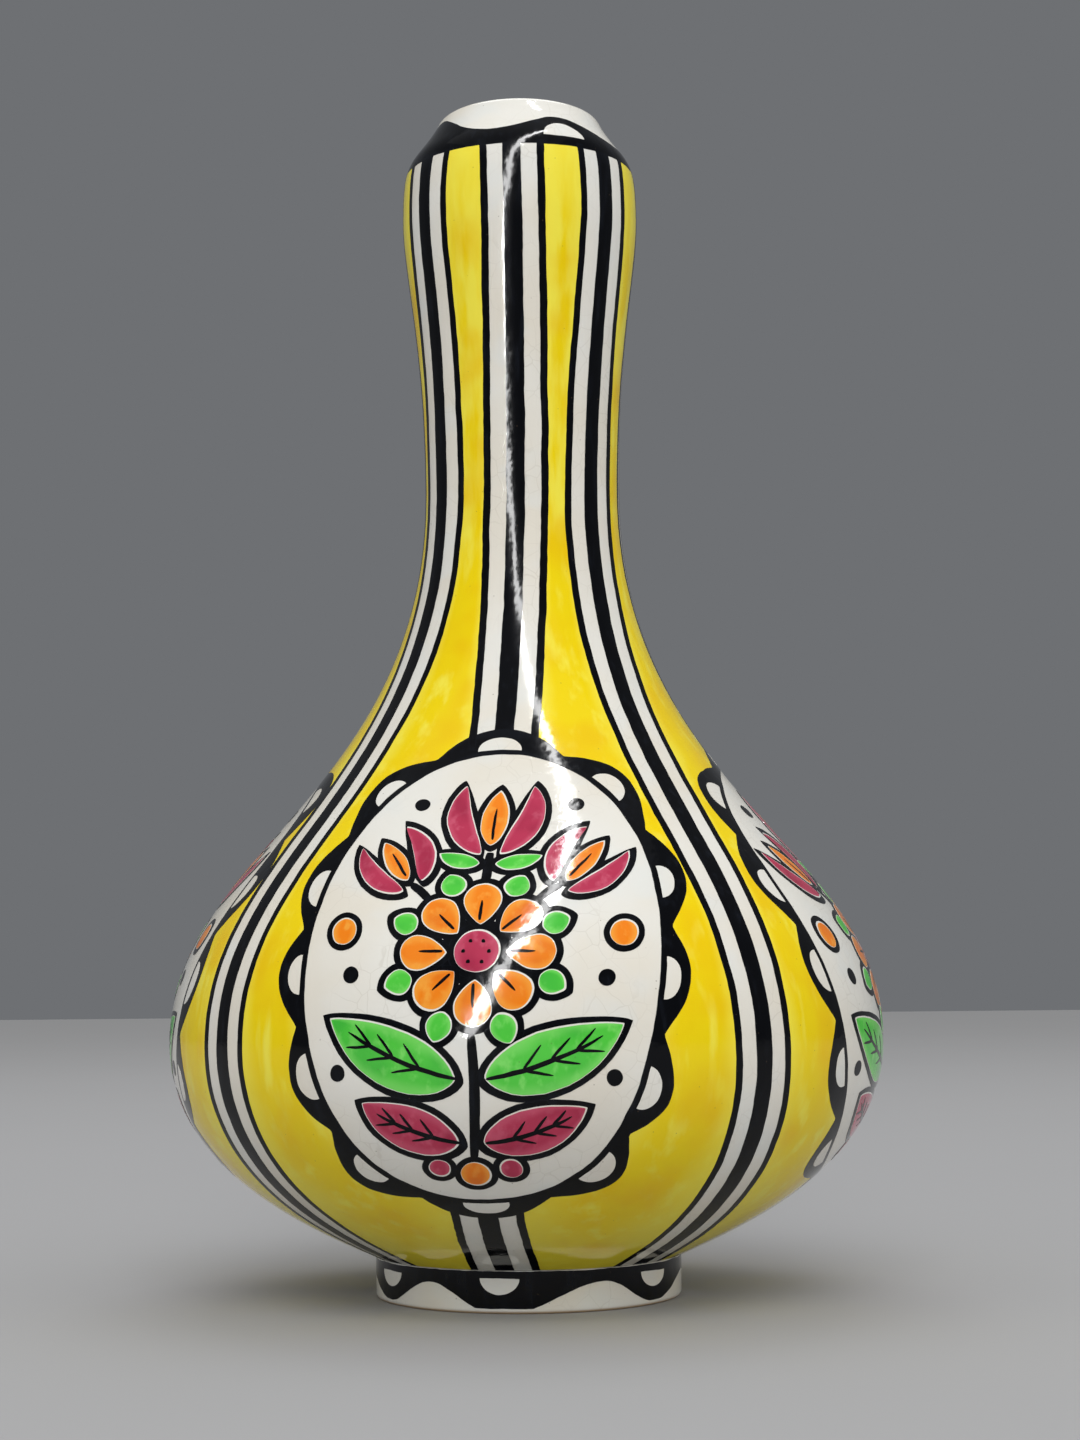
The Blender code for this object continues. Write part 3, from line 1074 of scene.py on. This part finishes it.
class Posy:
    """One medallion's posy, in millimetres from the oval's middle. Flowers go by shares of their size."""

    def __init__(self, panel, turn, size):
        self.panel = panel
        turned = np.array([[math.cos(turn), -math.sin(turn)], [math.sin(turn), math.cos(turn)]])
        self.turn = np.diag([size * MEDALLIONS[panel], size]) @ turned

    def put(self, sheet, sides):
        sheet.on_panel(self.panel, *(side @ self.turn.T + np.array([0.0, OVAL_UP]) for side in sides))

    def cell(self, paint, base, tip, half, bow=0.0, shape=ROUND):
        """One cell of colour on its bare edge and its black outline."""
        base = base + slip(SLIP)
        tip = tip + slip(SLIP)
        layers = ((outlines, OUTLINE, 0.0), (bare_edges, 0.0, 0.0), (cells[paint], -BARE_EDGE, FILL_SLIP))
        for sheet, wider, most in layers:
            reach = wider * (0.5 + shape[1]) * unit(tip - base)
            moved = slip(most)
            ends = (base - reach + moved, tip + reach + moved)
            self.put(sheet, petal(sheet, *ends, half + wider, bow, shape))

    def vein(self, start, end, width, bow=0.0):
        self.put(veins, petal(veins, start, end, width / 2, bow, VEIN))

    def stem(self, start, end, width, bow=0.0):
        self.put(outlines, petal(outlines, start, end, width / 2, bow, STEM))

    def dot(self, paint, middle, radius):
        self.cell(paint, *poles(middle, radius), radius)

    def black_dot(self, middle, radius):
        self.put(outlines, petal(outlines, *poles(middle, radius), radius))

    def leaf(self, paint, base, tip, half, bow):
        """A leaf with a midrib and three pairs of side veins."""
        self.cell(paint, base, tip, half, bow, LEAF)
        self.vein(base, middle_line(base, tip, bow, MIDRIB), MIDRIB_WIDTH, bow * MIDRIB)
        axis = np.subtract(tip, base)
        for share in VEINS_AT:
            root = middle_line(base, tip, bow, share)
            for side in (1.0, -1.0):
                out = side * unit(leftward(axis))
                reach = VEIN_REACH * half * (1.0 - VEIN_TAPER * share)
                self.vein(root + VEIN_GAP * out, root + VEIN_RISE * axis + reach * out, VEIN_WIDTH)

    def daisy(self, middle, radius, petals, heart):
        """Orange petals round a crimson heart, with the tips of green sepals between them."""
        inner = heart + HEART_GAP
        length = radius - inner
        half = (inner + DAISY_PETAL[0] * length) * math.sin(math.pi / petals) - OUTLINE / 2
        for number in range(petals):
            angle = math.tau * number / petals
            way = compass(angle)
            sepal = compass(angle + math.pi / petals) * radius
            sepal_ends = (middle + sepal * SEPAL_FROM, middle + sepal * SEPAL_TO)
            self.cell("green", *sepal_ends, radius * SEPAL_HALF, shape=SEPAL)
            self.cell("orange", middle + way * inner, middle + way * radius, half, shape=DAISY_PETAL)
            vein_reach = (inner + DAISY_VEIN_GAP, inner + DAISY_VEIN_REACH * length)
            self.vein(*(middle + way * reach for reach in vein_reach), PETAL_VEIN_WIDTH)
        self.black_dot(middle, heart + HEART_RIM)
        self.dot("crimson", middle, heart)
        for number in range(SEEDS):
            seed = middle + heart * SEEDS_AT * compass(math.tau * (number + 0.5) / SEEDS)
            self.vein(*poles(seed, SEED_RADIUS), 2.0 * SEED_RADIUS)

    def tulip(self, base, lean, height):
        """Two crimson petals that bow outwards, and an orange one between them."""
        up = compass(lean) * height
        half = height * TULIP_HALF
        for side in (-1.0, 1.0):
            out = -side * leftward(compass(lean))
            tip = base + up + out * height * TULIP_SPREAD
            self.cell("crimson", base + out * TULIP_ROOT, tip, half, -side * height * TULIP_BOW, PETAL)
        self.cell("orange", *(base + up * share for share in TULIP_MIDDLE), half, shape=PETAL)
        self.vein(*(base + up * share for share in TULIP_VEIN), PETAL_VEIN_WIDTH)


# %% Draw the four posies
POSY_TURN = 2.0
POSY_SIZES = (0.98, 1.01)


def paint_posy(panel):
    turn = math.radians(hand.uniform(-POSY_TURN, POSY_TURN))
    posy = Posy(panel, turn, hand.uniform(*POSY_SIZES))
    posy.stem((0.0, -14.0), (0.0, -38.0), width=1.9, bow=0.6)
    posy.stem((0.0, 14.0), (0.0, 22.8), width=1.8)
    for side in (-1.0, 1.0):
        posy.stem((side * 9.5, 11.0), (side * 13.8, 15.2), width=1.7, bow=side * 0.4)
        posy.tulip((side * 13.6, 14.8), lean=math.radians(side * 34.0), height=14.5)
        posy.leaf("green", (side * 2.6, -22.0), (side * 27.0, -11.8), half=5.4, bow=side * -1.2)
        posy.leaf("crimson", (side * 2.2, -34.2), (side * 20.4, -27.0), half=4.6, bow=side * -1.0)
        posy.cell("green", (side * 1.4, 20.2), (side * 9.8, 22.4), half=1.8, bow=side * -0.6, shape=PETAL)
        posy.dot("orange", (side * 26.2, 5.0), radius=2.7)
        posy.dot("crimson", (side * 6.4, -39.8), radius=2.1)
        posy.black_dot((side * 14.8, 35.4), radius=1.6)
        posy.black_dot((side * 23.6, -3.8), radius=1.6)
        posy.black_dot((side * 25.4, -21.4), radius=1.5)
    posy.tulip((0.0, 22.4), lean=0.0, height=17.5)
    posy.daisy((0.0, 1.0), radius=14.0, petals=8, heart=4.2)
    posy.dot("orange", (0.0, -41.2), radius=2.8)


for panel in MEDALLIONS:
    paint_posy(panel)
print(sum(len(sheet.borders) for sheet in cells.values()) // 2, "cells of colour")

# %% [markdown]
# ### Coats, one over the other
# Yellow lies lowest. Black goes over its edge, bare edges and then colour lie on the black, and the veins
# on top. Faces are in millimetres from the CAD surface. All coats share a bed a little under the glaze, so
# that none of them hangs in the air.

# %% Lay all coats on the wall
BED = -0.15
YELLOW_FACE = -0.085
BLACK_FACE = -0.06
BARE_FACE = -0.042
CELL_FACE = -0.022
VEIN_FACE = 0.0
STRAY = 1.2
STRAY_SIZE = 24.0

enamel = enamel_tree()
curve = outline_curve()
coats = {
    "yellow_ground": (ground, 20, YELLOW_FACE, "yellow_enamel"),
    "black_stripes": (stripes, 3, BLACK_FACE, "black_enamel"),
    "black_borders": (rings, 6, BLACK_FACE, "black_enamel"),
    "black_bands": (bands, 8, BLACK_FACE, "black_enamel"),
    "black_outlines": (outlines, 6, BLACK_FACE, "black_enamel"),
    "bare_edges": (bare_edges, 6, BARE_FACE, "cream_glaze"),
    "white_half_moons": (moons, 6, CELL_FACE, "cream_glaze"),
    "green_cells": (cells["green"], 6, CELL_FACE, "green_enamel"),
    "orange_cells": (cells["orange"], 6, CELL_FACE, "orange_enamel"),
    "crimson_cells": (cells["crimson"], 6, CELL_FACE, "crimson_enamel"),
    "black_veins": (veins, 2, VEIN_FACE, "black_enamel"),
}
for name, (sheet, columns, face, slot) in coats.items():
    values = {
        "Border points": sheet.border_points,
        "Columns": columns,
        "Goes round": sheet in (rings, bands),
        "Outline": curve,
        "Foot height": FOOT_HEIGHT * MM,
        "Bed": BED * MM,
        "Face": face * MM,
        "Stray": STRAY * MM,
        "Stray size": STRAY_SIZE * MM,
        "Material": finishes[slot],
    }
    coat = grow(name, sheet.points(), enamel, values)
    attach(coat, "root")
    print(name, len(coat.data.polygons), "faces")
bpy.data.objects.remove(curve)

# %% [markdown]
# ## Floor, light and camera
# A plain pale floor and soft light show the shape. The world is an even grey backdrop to the camera and in
# the gloss, and to all else it is a soft light, strongest from the front, the right and above.

# %% Floor and backdrop
FLOOR_HALF = 4.0
FLOOR_TONE = colour(174, 174, 176)
FLOOR_CLOUD = colour(166, 167, 170)
CLOUD_SIZE = 0.25
CLOUD_SHOWS = 0.3
BACKDROP = colour(110, 112, 115)
SHADY_SIDE = colour(96, 98, 102)
LIT_SIDE = colour(236, 236, 234)
LIGHT_FROM = Vector((0.33, -0.76, 0.56))

pale = Finish("pale floor")
clouds = pale.noise(CLOUD_SIZE, detail=3.0)
pale.set("Base Color", pale.blend(clouds * CLOUD_SHOWS, FLOOR_TONE, FLOOR_CLOUD))
pale.set("Roughness", 0.7)
pale.set("Specular IOR Level", 0.0)
floor_mesh = bpy.data.meshes.new("floor")
corners = [(x * FLOOR_HALF, y * FLOOR_HALF, 0.0) for x, y in ((-1, -1), (1, -1), (1, 1), (-1, 1))]
floor_mesh.from_pydata(corners, [], [(0, 1, 2, 3)])
floor_mesh.materials.append(pale.material)
floor = placed("floor", floor_mesh)
print("floor:", 2.0 * FLOOR_HALF, "m square")

world = bpy.data.worlds.new("studio")
world.use_nodes = True
room = Graph(world.node_tree)
rays = room.node("LightPath", out="Is Camera Ray")
mirrored = room.math("MAXIMUM", rays.of("Is Glossy Ray"), rays.of("Is Transmission Ray"))
seen = room.math("MAXIMUM", rays, mirrored)
ways = {0: room.node("TexCoord", out="Generated"), 1: LIGHT_FROM}
towards = room.node("VectorMath", ways, "Value", operation="DOT_PRODUCT")
soft_light = room.blend(towards * 0.5 + 0.5, SHADY_SIDE, LIT_SIDE)
room.feed(world.node_tree.nodes["Background"].inputs["Color"], room.blend(seen, soft_light, BACKDROP))
bpy.context.scene.world = world

# %% [markdown]
# Two lamps stand in front. A wide fill lights the vase and stays out of the gloss. A tall narrow strip
# shows only in the gloss, as the thin line of light that a glossy bottle has along its neck and shoulder.
# Two weak lamps, above and behind, lift the edges. The level leaves the colours about as they are written
# above.
#
# The camera was fitted to the photo's silhouette together with the outline.

# %% Lamps
AIM = Vector((0.0, 0.0, 0.12))


def softbox(name, low, high, width, power):
    """A lamp between the middles of its lower and its upper edge, turned to face the vase."""
    middle = (Vector(low) + Vector(high)) / 2
    upright = Vector(high) - Vector(low)
    up = upright.normalized()
    back = middle - AIM
    back = (back - back.dot(up) * up).normalized()
    lamp = bpy.data.lights.new(name, "AREA")
    lamp.shape = "RECTANGLE"
    lamp.size = width
    lamp.size_y = upright.length
    lamp.energy = power
    stand = placed(name, lamp)
    axes = Matrix((up.cross(back), up, back)).transposed()
    stand.matrix_world = Matrix.Translation(middle) @ axes.to_4x4()
    return stand


strip = softbox("front strip", (-0.3, -1.0, 0.12), (0.3, -0.07, 1.45), width=0.05, power=11.0)
strip.visible_diffuse = False
fill = softbox("front fill", (0.0, -1.68, 0.8), (0.0, -1.07, 1.59), width=1.0, power=11.5)
fill.visible_glossy = False
softbox("overhead", (-0.1, -1.3, 1.4), (-0.1, 0.5, 1.7), width=2.0, power=1.9)
softbox("back light", (0.0, 1.0, 1.5), (0.0, 0.4, 1.8), width=1.0, power=4.5)
print("lamps:", ", ".join(item.name for item in bpy.context.scene.objects if item.type == "LIGHT"))

# %% Camera
PHOTO_HEIGHT = 1440
FOCAL_PIXELS = 2400.0
CAMERA_PLACE = (0.00324, -0.4863, 0.0616)
CAMERA_PITCH = math.radians(6.22)
CAMERA_ROLL = math.radians(-0.54)

lens = bpy.data.cameras.new("camera")
lens.sensor_width = 36.0
lens.lens = FOCAL_PIXELS * lens.sensor_width / PHOTO_HEIGHT
lens.clip_start = 0.01
camera = placed("camera", lens)
tilted = Matrix.Rotation(math.pi / 2 + CAMERA_PITCH, 4, "X") @ Matrix.Rotation(CAMERA_ROLL, 4, "Z")
camera.matrix_world = Matrix.Translation(CAMERA_PLACE) @ tilted
bpy.context.scene.camera = camera
bpy.context.scene.view_settings.view_transform = "Standard"
print(f"camera: {lens.lens:.0f} mm lens, {camera.location.length / MM:.0f} mm from the middle of the foot")
